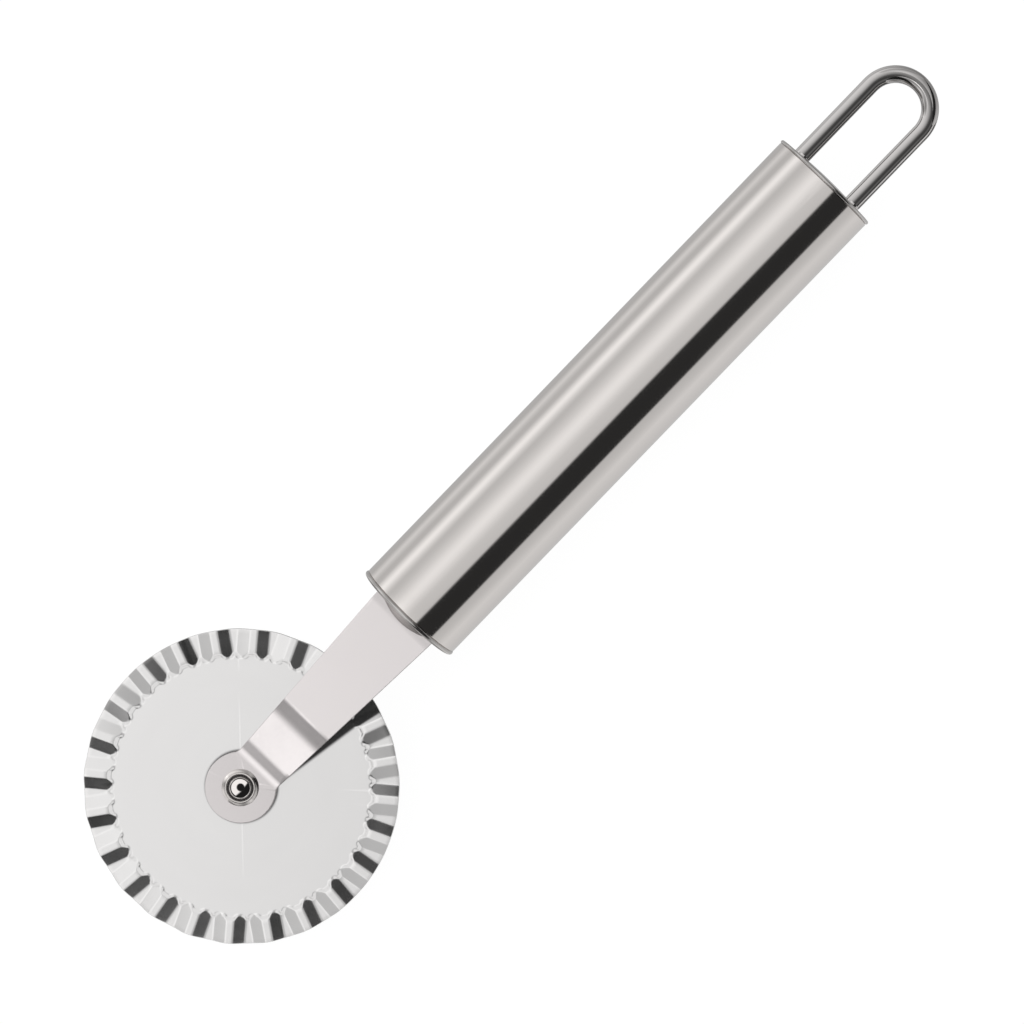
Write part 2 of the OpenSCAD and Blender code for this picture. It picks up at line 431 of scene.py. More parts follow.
def front_cap():
    """Rounded lip, hollow boss and skirt. Heights run from the end of the tube towards the wheel."""
    lip_steps = 12
    boss_margin = 0.25
    lip_r = FRONT_CAP_HIGH.y
    boss_h = TUBE_LOW.x - FRONT_CAP_LOW.x - FRONT_LIP_T
    skirt_l = FRONT_CAP_HIGH.x - TUBE_LOW.x
    round_r = FRONT_LIP_T / 2
    outer = [(SKIRT_R, -skirt_l), (SKIRT_R, 0)]
    outer += [(lip_r - round_r + x, y) for x, y in arc((0, round_r), round_r, -90, 90, lip_steps)]
    outer += [(BOSS_R + boss_margin, FRONT_LIP_T)]
    outer += [(r, FRONT_LIP_T + h) for r, h in dome_arc(BOSS_R, boss_h)]
    inner = [(r, FRONT_LIP_T - CAP_T + h) for r, h in reversed(dome_arc(BOSS_R - CAP_T, boss_h))]
    inner += [(BOSS_R - CAP_T, 0), (SKIRT_R - CAP_T, 0), (SKIRT_R - CAP_T, -skirt_l)]
    verts, faces = lathe(outer + inner, CAP_STEPS)
    return along_x(verts, TUBE_LOW.x, -1), faces


def rear_cap():
    """Rounded lip with a shallow crown, and a skirt. Heights run from the end of the tube outwards."""
    lip_steps = 12
    lip_r = REAR_CAP_HIGH.y
    crown_h = REAR_CAP_HIGH.x - TUBE_HIGH.x - REAR_LIP_T
    skirt_l = TUBE_HIGH.x - REAR_CAP_LOW.x
    round_r = REAR_LIP_T / 2
    outer = [(SKIRT_R, -skirt_l), (SKIRT_R, 0)]
    outer += [(lip_r - round_r + x, y) for x, y in arc((0, round_r), round_r, -90, 90, lip_steps)]
    outer += [(r, REAR_LIP_T + h) for r, h in dome_arc(lip_r - CROWN_INSET, crown_h)]
    inner = [(0, 0), (SKIRT_R - CAP_T, 0), (SKIRT_R - CAP_T, -skirt_l)]
    verts, faces = lathe(outer + inner, CAP_STEPS)
    return along_x(verts, TUBE_HIGH.x), faces


def leaf_slot_blocks():
    """Openings of the front cap that the two leaves pass through."""
    margin = 1
    half_w = LEAF_HIGH.y + HOLE_GAP
    low_z = LEAF_HIGH.z - LEAF_T - HOLE_GAP
    high_z = LEAF_HIGH.z + HOLE_GAP
    start_x = FRONT_CAP_LOW.x - margin
    end_x = TUBE_LOW.x + margin
    front = block((start_x, -half_w, low_z), (end_x, half_w, high_z))
    rear = block((start_x, -half_w, -high_z), (end_x, half_w, -low_z))
    return [front, rear]


def leg_hole_rods():
    """Rods that cut the rear cap's holes for the loop's legs."""
    margin = 1
    leg_y = LOOP_HIGH.y - WIRE_R
    hole_r = WIRE_R + HOLE_GAP
    top = REAR_CAP_HIGH.x - TUBE_HIGH.x + 2 * margin
    rods = []
    for y in (-leg_y, leg_y):
        outline = [(0, -margin), (hole_r, -margin), (hole_r, top), (0, top)]
        verts, faces = lathe(outline, HOLE_STEPS)
        rods.append(([(x, y + dy, z) for x, dy, z in along_x(verts, TUBE_HIGH.x)], faces))
    return rods


def wire_loop():
    """Round wire along two straight legs and a half circle, with its cut ends inside the handle."""
    leg_y = LOOP_HIGH.y - WIRE_R
    bend_x = LOOP_HIGH.x - WIRE_R - leg_y
    leg_steps = 10
    bend_steps = 48
    ring_steps = 40
    leg_xs = [LOOP_LOW.x + (bend_x - LOOP_LOW.x) * i / leg_steps for i in range(leg_steps)]
    path = [(x, -leg_y, -90) for x in leg_xs]
    path += [(bend_x + leg_y * math.cos(math.radians(a)), leg_y * math.sin(math.radians(a)), a)
             for a in [-90 + 180 * i / bend_steps for i in range(bend_steps + 1)]]
    path += [(x, leg_y, 90) for x in reversed(leg_xs)]
    verts = []
    faces = []
    for i, (x, y, outward) in enumerate(path):
        out = (math.cos(math.radians(outward)), math.sin(math.radians(outward)))
        for j in range(ring_steps):
            turn = 2 * math.pi * j / ring_steps
            reach = WIRE_R * math.cos(turn)
            verts.append((x + out[0] * reach, y + out[1] * reach, WIRE_R * math.sin(turn)))
            if i:
                k = (j + 1) % ring_steps
                before = (i - 1) * ring_steps
                here = i * ring_steps
                faces.append((before + j, before + k, here + k, here + j))
    faces.append(tuple(range(ring_steps)))
    faces.append(tuple(range(len(verts) - ring_steps, len(verts))))
    return verts, faces


def axle_rivet():
    """Shank, and on each side of the fork a thin flange with a polished dome on it."""
    head_r = (RIVET_HIGH.x - RIVET_LOW.x) / 2
    head_z = RING_HIGH.z + HOLE_GAP
    flange_t = 0.06
    flange_z = head_z + flange_t
    dome_h = RIVET_HIGH.z - flange_z
    shank_r = SHANK_R - HOLE_GAP
    dome_steps = 32
    dome_power = 0.9
    foot_r = RIVET_DOME_R + 0.02
    upper = [(shank_r, head_z), (head_r, head_z), (head_r, flange_z), (foot_r, flange_z)]
    for i in range(dome_steps + 1):
        turn = math.pi / 2 * i / dome_steps
        upper.append((RIVET_DOME_R * math.cos(turn) ** dome_power, flange_z + dome_h * math.sin(turn)))
    upper[-1] = (0, RIVET_HIGH.z)
    outline = [(r, -z) for r, z in reversed(upper)] + upper
    verts, faces = lathe(outline, AXLE_STEPS)
    return [(HUB_X + x, y, z) for x, y, z in verts], faces


def rivet_ring(side):
    """Washer under a rivet's dome: a raised bead round the dome and a sloping outer edge."""
    outer_r = (RING_HIGH.x - RING_LOW.x) / 2
    low = RING_LOW.z
    high = RING_HIGH.z
    outer_drop = 0.2
    edge = 0.06
    bead_steps = 12
    bead_floor = high + edge
    bead_foot_r = BEAD_R + BEAD_HALF_W + 0.03
    outline = [(SHANK_R, low), (outer_r, low), (outer_r, high - outer_drop - edge)]
    outline += [(outer_r - edge, high - outer_drop), (bead_foot_r, high)]
    outline += arc((BEAD_R, bead_floor), BEAD_HALF_W, 0, 180, bead_steps)
    outline += [(BEAD_R - BEAD_HALF_W, high), (SHANK_R, high)]
    verts, faces = lathe(outline, AXLE_STEPS)
    return [(HUB_X + x, y, side * z) for x, y, z in verts], faces


# ---------------------------------------------------------------- materials

# Colours of the steels, and the reflectance that the studio's brightness allows for
WARM = (0.77, 0.735, 0.712)
LEAF_TINT = (0.74, 0.702, 0.70)
CAP_TINT = (0.60, 0.58, 0.565)
LOOP_TINT = (0.68, 0.66, 0.65)
WHEEL_TINT = (0.80, 0.79, 0.785)
STEEL_LEVEL = 0.74
# Roughness of the noise that draws the grain, and the change of shade that the grain brings
GRAIN_CONTRAST = 0.65
GRAIN_SHADE = 0.025
# Smudges: how many to a metre, and the change of shade that they bring
SMUDGE_SCALE = 95.0
SMUDGE_SHADE = 0.02
# Worn edges: pointiness where wear starts and where it is full, and how much smoother and brighter it is
WEAR_START = 0.53
WEAR_FULL = 0.62
WEAR_SMOOTHING = 0.05
WEAR_BRIGHTENING = 0.06
# Painted shade of the gap between the rivet's dome and the ring's bead, as a dark line in the seam:
# darkness, and softness of its edges in millimetres
SEAM_SHADE_DARKNESS = 0.96
SEAM_SHADE_SOFT = 0.05


def add_node(tree, kind, inputs=None, **settings):
    """Adds a node; an input is a value or another node's output."""
    new = tree.nodes.new(kind)
    for name, value in settings.items():
        setattr(new, name, value)
    for socket, value in (inputs or {}).items():
        if isinstance(value, bpy.types.NodeSocket):
            tree.links.new(value, new.inputs[socket])
        else:
            new.inputs[socket].default_value = value
    return new


def calc(tree, operation, first, second=0.0, clamp=False):
    """Output of a math node."""
    node = add_node(tree, "ShaderNodeMath", {0: first, 1: second}, operation=operation, use_clamp=clamp)
    return node.outputs[0]


def remap(tree, value, low, high):
    """low where the value is 0, high where it is 1, and in proportion between them."""
    node = add_node(tree, "ShaderNodeMapRange", {"Value": value, "To Min": low, "To Max": high})
    return node.outputs["Result"]


def rise(tree, value, low, high, interpolation="LINEAR"):
    """0 up to low and 1 from high on. If high is the smaller one: 1 up to high and 0 from low on."""
    node = add_node(tree, "ShaderNodeMapRange", {"Value": value, "From Min": low, "From Max": high},
                    interpolation_type=interpolation)
    return node.outputs["Result"]


def soft_rise(tree, value, low, high):
    """A rise with a soft start and end."""
    return rise(tree, value, low, high, "SMOOTHSTEP")


def flat_length(tree, x, y):
    """Length of a vector in the XY plane."""
    return calc(tree, "SQRT", calc(tree, "ADD", calc(tree, "MULTIPLY", x, x), calc(tree, "MULTIPLY", y, y)))


def from_axle(tree):
    """X and Y distance from the axle, in metres."""
    place = add_node(tree, "ShaderNodeTexCoord").outputs["Object"]
    offset = add_node(tree, "ShaderNodeVectorMath", {0: place, 1: (HUB_X * MM, 0, 0)}, operation="SUBTRACT")
    parts = add_node(tree, "ShaderNodeSeparateXYZ", {0: offset.outputs[0]}).outputs
    return parts[0], parts[1]


def straight_grain(tree, per_metre):
    """Coordinates scaled so that noise forms lines where the three scales differ. The scales are
    features to a metre along X, Y and Z."""
    place = add_node(tree, "ShaderNodeTexCoord").outputs["Object"]
    return add_node(tree, "ShaderNodeMapping", {"Vector": place, "Scale": per_metre}).outputs["Vector"]


def turned_grain(tree, per_metre):
    """Coordinates round the axle, so that noise forms rings like those that a polishing disc leaves.
    The first value of per_metre sets how close the rings are, the second how fast they change along
    their way round."""
    x, y = from_axle(tree)
    rings = calc(tree, "MULTIPLY", flat_length(tree, x, y), per_metre[0])
    across = calc(tree, "MULTIPLY", x, per_metre[1])
    up = calc(tree, "MULTIPLY", y, per_metre[1])
    return add_node(tree, "ShaderNodeCombineXYZ", {0: rings, 1: across, 2: up}).outputs[0]


def seam_painted_shade(tree, inner_r, outer_r):
    """1 on the line of painted shade round the axle between two radii in millimetres, 0 elsewhere. It
    stands for the shade in the gap between the rivet's dome and the ring's bead.
    """
    radius = flat_length(tree, *from_axle(tree))
    starts = rise(tree, radius, (inner_r - SEAM_SHADE_SOFT) * MM, (inner_r + SEAM_SHADE_SOFT) * MM)
    ends = rise(tree, radius, (outer_r + SEAM_SHADE_SOFT) * MM, (outer_r - SEAM_SHADE_SOFT) * MM)
    return calc(tree, "MULTIPLY", starts, ends)


def steel(name, tint, roughness, grain, grain_scale, line_depth, roughness_spread=0.06, smudge=0.05,
          seam_shade_radii=None, detail=4.0):
    """Stainless steel with grain in its roughness, shade and bump, faint smudges and worn edges. Depth
    of the grain in millimetres. The seam's two radii, when given, bound a line of painted shade round
    the axle, for the shade in the gap between the rivet's dome and the ring's bead."""
    material = bpy.data.materials.new(name)
    material.use_nodes = True
    tree = material.node_tree
    shader = tree.nodes["Principled BSDF"]
    shader.inputs["Metallic"].default_value = 1.0
    lines = add_node(tree, "ShaderNodeTexNoise",
                     {"Vector": grain(tree, grain_scale), "Scale": 1.0, "Detail": detail,
                      "Roughness": GRAIN_CONTRAST}).outputs["Fac"]
    place = add_node(tree, "ShaderNodeTexCoord").outputs["Object"]
    smudges = add_node(tree, "ShaderNodeTexNoise",
                       {"Vector": place, "Scale": SMUDGE_SCALE, "Detail": 3.0,
                        "Roughness": 0.5}).outputs["Fac"]
    edges = add_node(tree, "ShaderNodeNewGeometry").outputs["Pointiness"]
    wear = rise(tree, edges, WEAR_START, WEAR_FULL)
    grained = remap(tree, lines, roughness - roughness_spread, roughness + roughness_spread)
    smeared = calc(tree, "ADD", grained, remap(tree, smudges, -smudge, smudge))
    worn = calc(tree, "SUBTRACT", smeared, calc(tree, "MULTIPLY", wear, WEAR_SMOOTHING), clamp=True)
    tree.links.new(worn, shader.inputs["Roughness"])
    shade = calc(tree, "ADD", remap(tree, lines, 1 - GRAIN_SHADE, 1 + GRAIN_SHADE),
                 remap(tree, smudges, -SMUDGE_SHADE, SMUDGE_SHADE))
    shade = calc(tree, "ADD", shade, calc(tree, "MULTIPLY", wear, WEAR_BRIGHTENING))
    # Painted shade: the seam between the dome and the bead is darkened as if it lay in shadow.
    if seam_shade_radii:
        unshaded = calc(tree, "SUBTRACT", 1.0, calc(tree, "MULTIPLY", seam_painted_shade(tree, *seam_shade_radii), SEAM_SHADE_DARKNESS))
        shade = calc(tree, "MULTIPLY", shade, unshaded)
    colour = add_node(tree, "ShaderNodeVectorMath", {0: tint, "Scale": shade}, operation="SCALE")
    tree.links.new(colour.outputs[0], shader.inputs["Base Color"])
    bump = add_node(tree, "ShaderNodeBump", {"Height": lines, "Strength": 1.0, "Distance": line_depth * MM})
    tree.links.new(bump.outputs["Normal"], shader.inputs["Normal"])
    return material


def make_materials():
    """The eight steels, by the pieces that wear them."""
    lengthwise = (25, 5200, 5200)
    satin = (900, 6200, 6200)
    round_axle = (1700, 400)
    web_rings = (300, 60)
    fine = (4200, 4200, 4200)
    return {
        "wheel": steel("wheel_steel_satin", WHEEL_TINT, 0.22, turned_grain, web_rings, 0.00005,
                       roughness_spread=0.03, smudge=0.04, detail=1.0),
        "leaf": steel("fork_steel_satin", LEAF_TINT, 0.22, straight_grain, satin, 0.0005),
        "tube": steel("tube_steel_brushed", WARM, 0.10, straight_grain, lengthwise, 0.0002,
                      roughness_spread=0.025, smudge=0.015),
        "cap": steel("cap_steel_pressed", CAP_TINT, 0.2, straight_grain, fine, 0.0005),
        # The rivet and its ring carry a line of painted shade in the seam between the dome and the bead.
        "rivet": steel("rivet_steel_polished", WARM, 0.05, straight_grain, fine, 0.0001,
                       roughness_spread=0.02, smudge=0.02, seam_shade_radii=(RIVET_DOME_R, RIVET_DOME_R + 1)),
        "ring": steel("ring_steel_turned", WARM, 0.16, turned_grain, round_axle, 0.0004,
                      seam_shade_radii=(0, BEAD_R - BEAD_HALF_W)),
        "loop": steel("loop_wire_polished", LOOP_TINT, 0.08, straight_grain, fine, 0.0002,
                      roughness_spread=0.03, smudge=0.02),
        "hub": steel("hub_steel_turned", WARM, 0.3, turned_grain, round_axle, 0.0006),
    }


# ---------------------------------------------------------------- studio

# Brightness of the studio as it shows in the handle: degrees off the zenith towards +Y, brightness
STUDIO_ROUND_HANDLE = (
    (-180, 0.66), (-134, 0.73), (-104, 0.78), (-84, 0.71), (-70, 0.69), (-68, 0.17), (-26, 0.17),
    (-23, 0.72), (-4, 0.74), (4, 0.79), (12, 0.85), (20, 0.875), (28, 0.84), (36, 0.785), (48, 0.72),
    (57, 0.70), (66, 0.80), (72, 0.885), (77, 0.91), (82, 0.85), (92, 0.69), (101, 0.68), (117, 0.79),
    (134, 0.66), (180, 0.62))
# Factor on it along the handle: degrees off the handle's cross plane towards +X, factor
STUDIO_ALONG_HANDLE = (
    (-90, 1.0), (-60, 0.95), (-44, 0.48), (-36, 0.46), (-27, 0.85), (-20, 1.16), (-15.5, 1.28),
    (-13.2, 1.42), (-9.6, 0.98), (-6, 1.0), (4, 1.0), (30, 0.80), (60, 0.5), (90, 0.45))
# Round softbox that brightens the raised panel of the leaf: degrees off the zenith towards -X
PANEL_LIGHT_TILT = 25
PANEL_LIGHT_RADIUS = 7
PANEL_LIGHT_SOFT = 3
PANEL_LIGHT_LEVEL = 0.72
# Card over the wheel: brightness overhead, brightest halo, and brightness round its horizon by azimuth
WHEEL_ZENITH = 0.775
WHEEL_HALO = 1.08
WHEEL_LOW_SKY = (
    (0, 0.02), (14, 0.06), (30, 0.5), (48, 0.6), (66, 0.95), (126, 1.0), (146, 0.64), (180, 0.54),
    (202, 0.50), (214, 0.2), (222, 0.03), (252, 0.01), (268, 0.07), (288, 0.07), (302, 0.02), (360, 0.02))
# Degrees by which that horizon turns from the middle to the rim on the (+X, -Y) side
WHEEL_SKY_TURN = 30
# Change of the overhead brightness as the ray leans towards +X and +Y, and its lowest value
WHEEL_SLANT_X = -0.9
WHEEL_SLANT_Y = 1.6
WHEEL_OVERHEAD_MIN = 0.5
# Z of the ray where the overhead part begins to show, and where it is all that shows
OVERHEAD_START = 0.8
OVERHEAD_FULL = 0.9
# The same for the even brightness between it and the horizon, and that brightness
BELT_START = 0.22
BELT_FULL = 0.4
BELT_LEVEL = 0.62
# Brightness that the flutes' inner ends reflect, and how nearly the ray must run along the radius
FLUTE_END_LEVEL = 0.9
FLUTE_END_START = 0.45
FLUTE_END_FULL = 0.85
# Cards over and under the loop: degrees off the zenith towards +Y, brightness
LOOP_SKY = (
    (-180, 0.55), (-145, 0.50), (-130, 0.32), (-110, 0.20), (-80, 0.20), (-64, 0.28), (-54, 0.38),
    (-44, 0.30), (-30, 0.22), (-10, 0.30), (16, 0.62), (40, 0.74), (70, 0.80), (100, 0.74), (130, 0.66),
    (180, 0.60))
# Largest lean along X of the rays that these two cards stop
LOOP_CARD_LEAN = 0.38
# Radius of the circle inside the wheel's and the rivet's card, and margin of the loop's cards round it
WHEEL_CARD_R = 38
RIVET_CARD_R = 6
LOOP_CARD_REACH = 6
# Card over the rivet: brightness outside and inside a bright arch, and the values between which a ray
# comes into the arch: its Z below the zenith, its Z above the horizon, its Y on the facing side
RIVET_DARK = 0.015
RIVET_BRIGHT = 1.15
RIVET_ZENITH_EDGE = (0.965, 0.93)
RIVET_HORIZON_EDGE = (0.42, 0.5)
RIVET_FACING_EDGE = (-0.28, -0.12)
# Shadow of the leaf: a distance from the axle, half width there, widening, softness of edge, darkness
SHADOW_EDGE_X = 12
SHADOW_EDGE = 5.55
SHADOW_WIDENING = 0.16
SHADOW_SOFT = 0.3
SHADOW_DEPTH = 0.97
# Line of shadow round the leaf's ear
EAR_LINE_W = 0.5
EAR_LINE_DEPTH = 0.85
DISPLAY_GAMMA = 2.2
BACKDROP = (0.98, 0.98, 0.98, 1)
FLOOR_COLOUR = (0.14, 0.14, 0.14, 1)
FLOOR_GLOW = 0.95


def ramp(tree, position, stops, value_of):
    """A colour ramp through (degrees, level) stops, read at a position from 0 (the first stop) to 1."""
    node = add_node(tree, "ShaderNodeValToRGB", {"Fac": position})
    span = stops[-1][0] - stops[0][0]
    elements = node.color_ramp.elements
    while len(elements) < len(stops):
        elements.new(0.5)
    for element, (degrees, level) in zip(elements, stops):
        element.position = (degrees - stops[0][0]) / span
        shade = value_of(level)
        element.color = (shade, shade, shade, 1)
    return node.outputs["Color"]


def panel_light(tree, direction):
    """1 inside a round softbox above the wheel, 0 outside."""
    tilt = math.radians(PANEL_LIGHT_TILT)
    towards = (-math.sin(tilt), 0, math.cos(tilt))
    nearness = add_node(tree, "ShaderNodeVectorMath", {0: direction, 1: towards}, operation="DOT_PRODUCT")
    outer = math.cos(math.radians(PANEL_LIGHT_RADIUS + PANEL_LIGHT_SOFT))
    inner = math.cos(math.radians(PANEL_LIGHT_RADIUS - PANEL_LIGHT_SOFT))
    return rise(tree, nearness.outputs["Value"], outer, inner)


def turn_of(tree, sideways, upwards):
    """Direction in a plane as a share of a turn: 0.5 is straight up, and 0 and 1 are straight down."""
    turn = calc(tree, "DIVIDE", calc(tree, "ARCTAN2", sideways, upwards), 2 * math.pi)
    return calc(tree, "ADD", turn, 0.5)


def make_world():
    """A studio of long soft lights beside the handle, with a black card on the -Y side. The factor and
    the softbox are halved, so that the factor's ramp stays under 1, and the background doubles them."""
    world = bpy.data.worlds.new("studio")
    bpy.context.scene.world = world
    world.use_nodes = True
    tree = world.node_tree
    tree.nodes.clear()
    direction = add_node(tree, "ShaderNodeTexCoord").outputs["Generated"]
    parts = add_node(tree, "ShaderNodeSeparateXYZ", {0: direction})
    x, y, z = parts.outputs
    around = turn_of(tree, y, z)
    along = calc(tree, "ADD", calc(tree, "DIVIDE", calc(tree, "ARCSINE", x), math.pi), 0.5)
    half = 0.5
    glow = ramp(tree, around, STUDIO_ROUND_HANDLE, lambda level: level ** DISPLAY_GAMMA / STEEL_LEVEL)
    factor = ramp(tree, along, STUDIO_ALONG_HANDLE, lambda level: level * half)
    mixed = add_node(tree, "ShaderNodeVectorMath", {0: glow, 1: factor}, operation="MULTIPLY")
    softbox = calc(tree, "MULTIPLY", panel_light(tree, direction), PANEL_LIGHT_LEVEL * half)
    total = add_node(tree, "ShaderNodeVectorMath", {0: mixed.outputs[0], 1: softbox}, operation="ADD")
    studio = add_node(tree, "ShaderNodeBackground", {"Color": total.outputs[0], "Strength": 1 / half})
    backdrop = add_node(tree, "ShaderNodeBackground", {"Color": BACKDROP, "Strength": 1.0})
    camera_ray = add_node(tree, "ShaderNodeLightPath").outputs["Is Camera Ray"]
    chosen = add_node(tree, "ShaderNodeMixShader",
                      {0: camera_ray, 1: studio.outputs[0], 2: backdrop.outputs[0]})
    add_node(tree, "ShaderNodeOutputWorld", {"Surface": chosen.outputs[0]})


def make_floor():
    """A pale floor that the handle's lips rest on."""
    half_size = 3000
    z = FRONT_CAP_LOW.z
    corners = [(-half_size, -half_size, z), (half_size, -half_size, z),
               (half_size, half_size, z), (-half_size, half_size, z)]
    mesh = new_mesh("floor", corners, [(0, 1, 2, 3)])
    material = bpy.data.materials.new("floor_pale")
    material.use_nodes = True
    shader = material.node_tree.nodes["Principled BSDF"]
    shader.inputs["Base Color"].default_value = FLOOR_COLOUR
    shader.inputs["Roughness"].default_value = 0.9
    shader.inputs["Specular IOR Level"].default_value = 0.0
    shader.inputs["Emission Color"].default_value = (1, 1, 1, 1)
    shader.inputs["Emission Strength"].default_value = FLOOR_GLOW
    mesh.materials.append(material)
    floor = new_object("floor", mesh)
    floor.visible_glossy = False
    floor.visible_diffuse = False


def make_card(name, outline, z, receiver, reach, brightness_of, lean=1.0):
    """A flat card that only the reflections of one piece see: from below when it lies above z 0, and
    from above when it lies under it. brightness_of gets the direction of the reflected ray and the
    place where it meets the card. Rays that rise or fall by more than reach, or lean along X by more
    than lean, pass through."""
    verts = [(x, y, z) for x, y in outline]
    mesh = new_mesh(name, verts, [tuple(range(len(verts)))])
    material = bpy.data.materials.new(name)
    material.use_nodes = True
    tree = material.node_tree
    tree.nodes.clear()
    geometry = add_node(tree, "ShaderNodeNewGeometry")
    direction = add_node(tree, "ShaderNodeVectorMath", {0: geometry.outputs["Incoming"], "Scale": -1.0},
                         operation="SCALE")
    ray = add_node(tree, "ShaderNodeSeparateXYZ", {0: direction.outputs[0]}).outputs
    place = add_node(tree, "ShaderNodeSeparateXYZ", {0: geometry.outputs["Position"]}).outputs
    length = add_node(tree, "ShaderNodeLightPath").outputs["Ray Length"]
    climb = calc(tree, "ABSOLUTE", calc(tree, "MULTIPLY", length, ray[2]))
    near = calc(tree, "LESS_THAN", climb, reach * MM)
    inner_side = geometry.outputs["Backfacing"]
    if z < 0:
        inner_side = calc(tree, "SUBTRACT", 1.0, inner_side)
    upright = calc(tree, "LESS_THAN", calc(tree, "ABSOLUTE", ray[0]), lean)
    seen = calc(tree, "MULTIPLY", calc(tree, "MULTIPLY", near, upright), inner_side)
    glow = add_node(tree, "ShaderNodeEmission", {"Strength": brightness_of(tree, ray, place)})
    clear = add_node(tree, "ShaderNodeBsdfTransparent")
    mixed = add_node(tree, "ShaderNodeMixShader", {0: seen, 1: clear.outputs[0], 2: glow.outputs[0]})
    add_node(tree, "ShaderNodeOutputMaterial", {"Surface": mixed.outputs[0]})
    mesh.materials.append(material)
    card = new_object(name, mesh)
    card.visible_camera = False
    card.visible_diffuse = False
    card.visible_shadow = False
    receivers = bpy.data.collections.new(name + "_receivers")
    receivers.objects.link(receiver)
    card.light_linking.receiver_collection = receivers


def wheel_card_brightness(tree, ray, place):
    """Bright overhead, and round the horizon bright on the +Y side and dark on the -Y side."""
    diagonal = WHEEL_R * 2 ** 0.5
    side = calc(tree, "MULTIPLY", calc(tree, "SUBTRACT", place[0], place[1]), 1 / (diagonal * MM))
    side = calc(tree, "ADD", side, -HUB_X / diagonal)
    azimuth = calc(tree, "DIVIDE", calc(tree, "ARCTAN2", ray[1], ray[0]), 2 * math.pi)
    turned = calc(tree, "SUBTRACT", azimuth, calc(tree, "MULTIPLY", side, WHEEL_SKY_TURN / 360))
    low_sky = ramp(tree, calc(tree, "FRACT", turned), WHEEL_LOW_SKY, lambda level: level)
    slant = calc(tree, "ADD", calc(tree, "MULTIPLY", ray[1], WHEEL_SLANT_Y),
                 calc(tree, "MULTIPLY", ray[0], WHEEL_SLANT_X))
    overhead = calc(tree, "MINIMUM", calc(tree, "ADD", WHEEL_ZENITH, slant), WHEEL_HALO)
    overhead = calc(tree, "MAXIMUM", overhead, WHEEL_OVERHEAD_MIN)
    sky = remap(tree, soft_rise(tree, ray[2], BELT_START, BELT_FULL), BELT_LEVEL, low_sky)
    sky = remap(tree, soft_rise(tree, ray[2], OVERHEAD_START, OVERHEAD_FULL), sky, overhead)
    sky = remap(tree, flute_end_share(tree, ray, place), sky, FLUTE_END_LEVEL)
    return calc(tree, "MULTIPLY", sky, leaf_shadow(tree, place))


def flute_end_share(tree, ray, place):
    """1 for rays that run towards the axle or away from it, as the flutes' inner ends reflect them."""
    x = calc(tree, "SUBTRACT", place[0], HUB_X * MM)
    flat_ray = add_node(tree, "ShaderNodeCombineXYZ", {0: ray[0], 1: ray[1]}).outputs[0]
    flat_place = add_node(tree, "ShaderNodeCombineXYZ", {0: x, 1: place[1]}).outputs[0]
    units = [add_node(tree, "ShaderNodeVectorMath", {0: flat}, operation="NORMALIZE").outputs[0]
             for flat in (flat_ray, flat_place)]
    along = add_node(tree, "ShaderNodeVectorMath", {0: units[0], 1: units[1]}, operation="DOT_PRODUCT")
    radial = soft_rise(tree, calc(tree, "ABSOLUTE", along.outputs["Value"]), FLUTE_END_START, FLUTE_END_FULL)
    return calc(tree, "MULTIPLY", radial, soft_rise(tree, ray[2], OVERHEAD_FULL, OVERHEAD_START))


def leaf_shadow(tree, place):
    """Near 0 in the strip of shadow along the -Y side of the front leaf and in the line round its ear,
    1 elsewhere."""
    x = calc(tree, "SUBTRACT", calc(tree, "DIVIDE", place[0], MM), HUB_X)
    y = calc(tree, "DIVIDE", place[1], MM)
    edge = calc(tree, "ADD", calc(tree, "MULTIPLY", x, -SHADOW_WIDENING),
                SHADOW_WIDENING * SHADOW_EDGE_X - SHADOW_EDGE)
    inside = soft_rise(tree, calc(tree, "SUBTRACT", y, edge), -SHADOW_SOFT, SHADOW_SOFT)
    inside = calc(tree, "MULTIPLY", inside, calc(tree, "LESS_THAN", y, 0.0))
    inside = calc(tree, "MULTIPLY", inside, calc(tree, "GREATER_THAN", x, NECK_HALF_W))
    strip = calc(tree, "SUBTRACT", 1.0, calc(tree, "MULTIPLY", inside, SHADOW_DEPTH))
    line_r = HUB_X - LEAF_LOW.x + EAR_LINE_W
    near_ear = soft_rise(tree, flat_length(tree, x, y), line_r, line_r - EAR_LINE_W)
    near_ear = calc(tree, "MULTIPLY", near_ear, EAR_LINE_DEPTH)
    return calc(tree, "MULTIPLY", strip, calc(tree, "SUBTRACT", 1.0, near_ear))


def loop_card_brightness(tree, ray, place):
    """The handle's studio with a wider dark side, as a thin wire near the floor shows it."""
    around = turn_of(tree, ray[1], ray[2])
    return ramp(tree, around, LOOP_SKY, lambda level: level ** DISPLAY_GAMMA / LOOP_TINT[0])


def rivet_card_brightness(tree, ray, place):
    """A bright arch on the +Y side between a dark zenith and a dark horizon."""
    below_zenith = soft_rise(tree, ray[2], *RIVET_ZENITH_EDGE)
    above_horizon = soft_rise(tree, ray[2], *RIVET_HORIZON_EDGE)
    facing = soft_rise(tree, ray[1], *RIVET_FACING_EDGE)
    arch = calc(tree, "MULTIPLY", calc(tree, "MULTIPLY", below_zenith, above_horizon), facing)
    return remap(tree, arch, RIVET_DARK, RIVET_BRIGHT)


def round_axle_card(radius):
    """Outline of a card over the axle: one triangle round a circle of that radius."""
    return arc((HUB_X, 0), 2 * radius, 60, 300, 2)


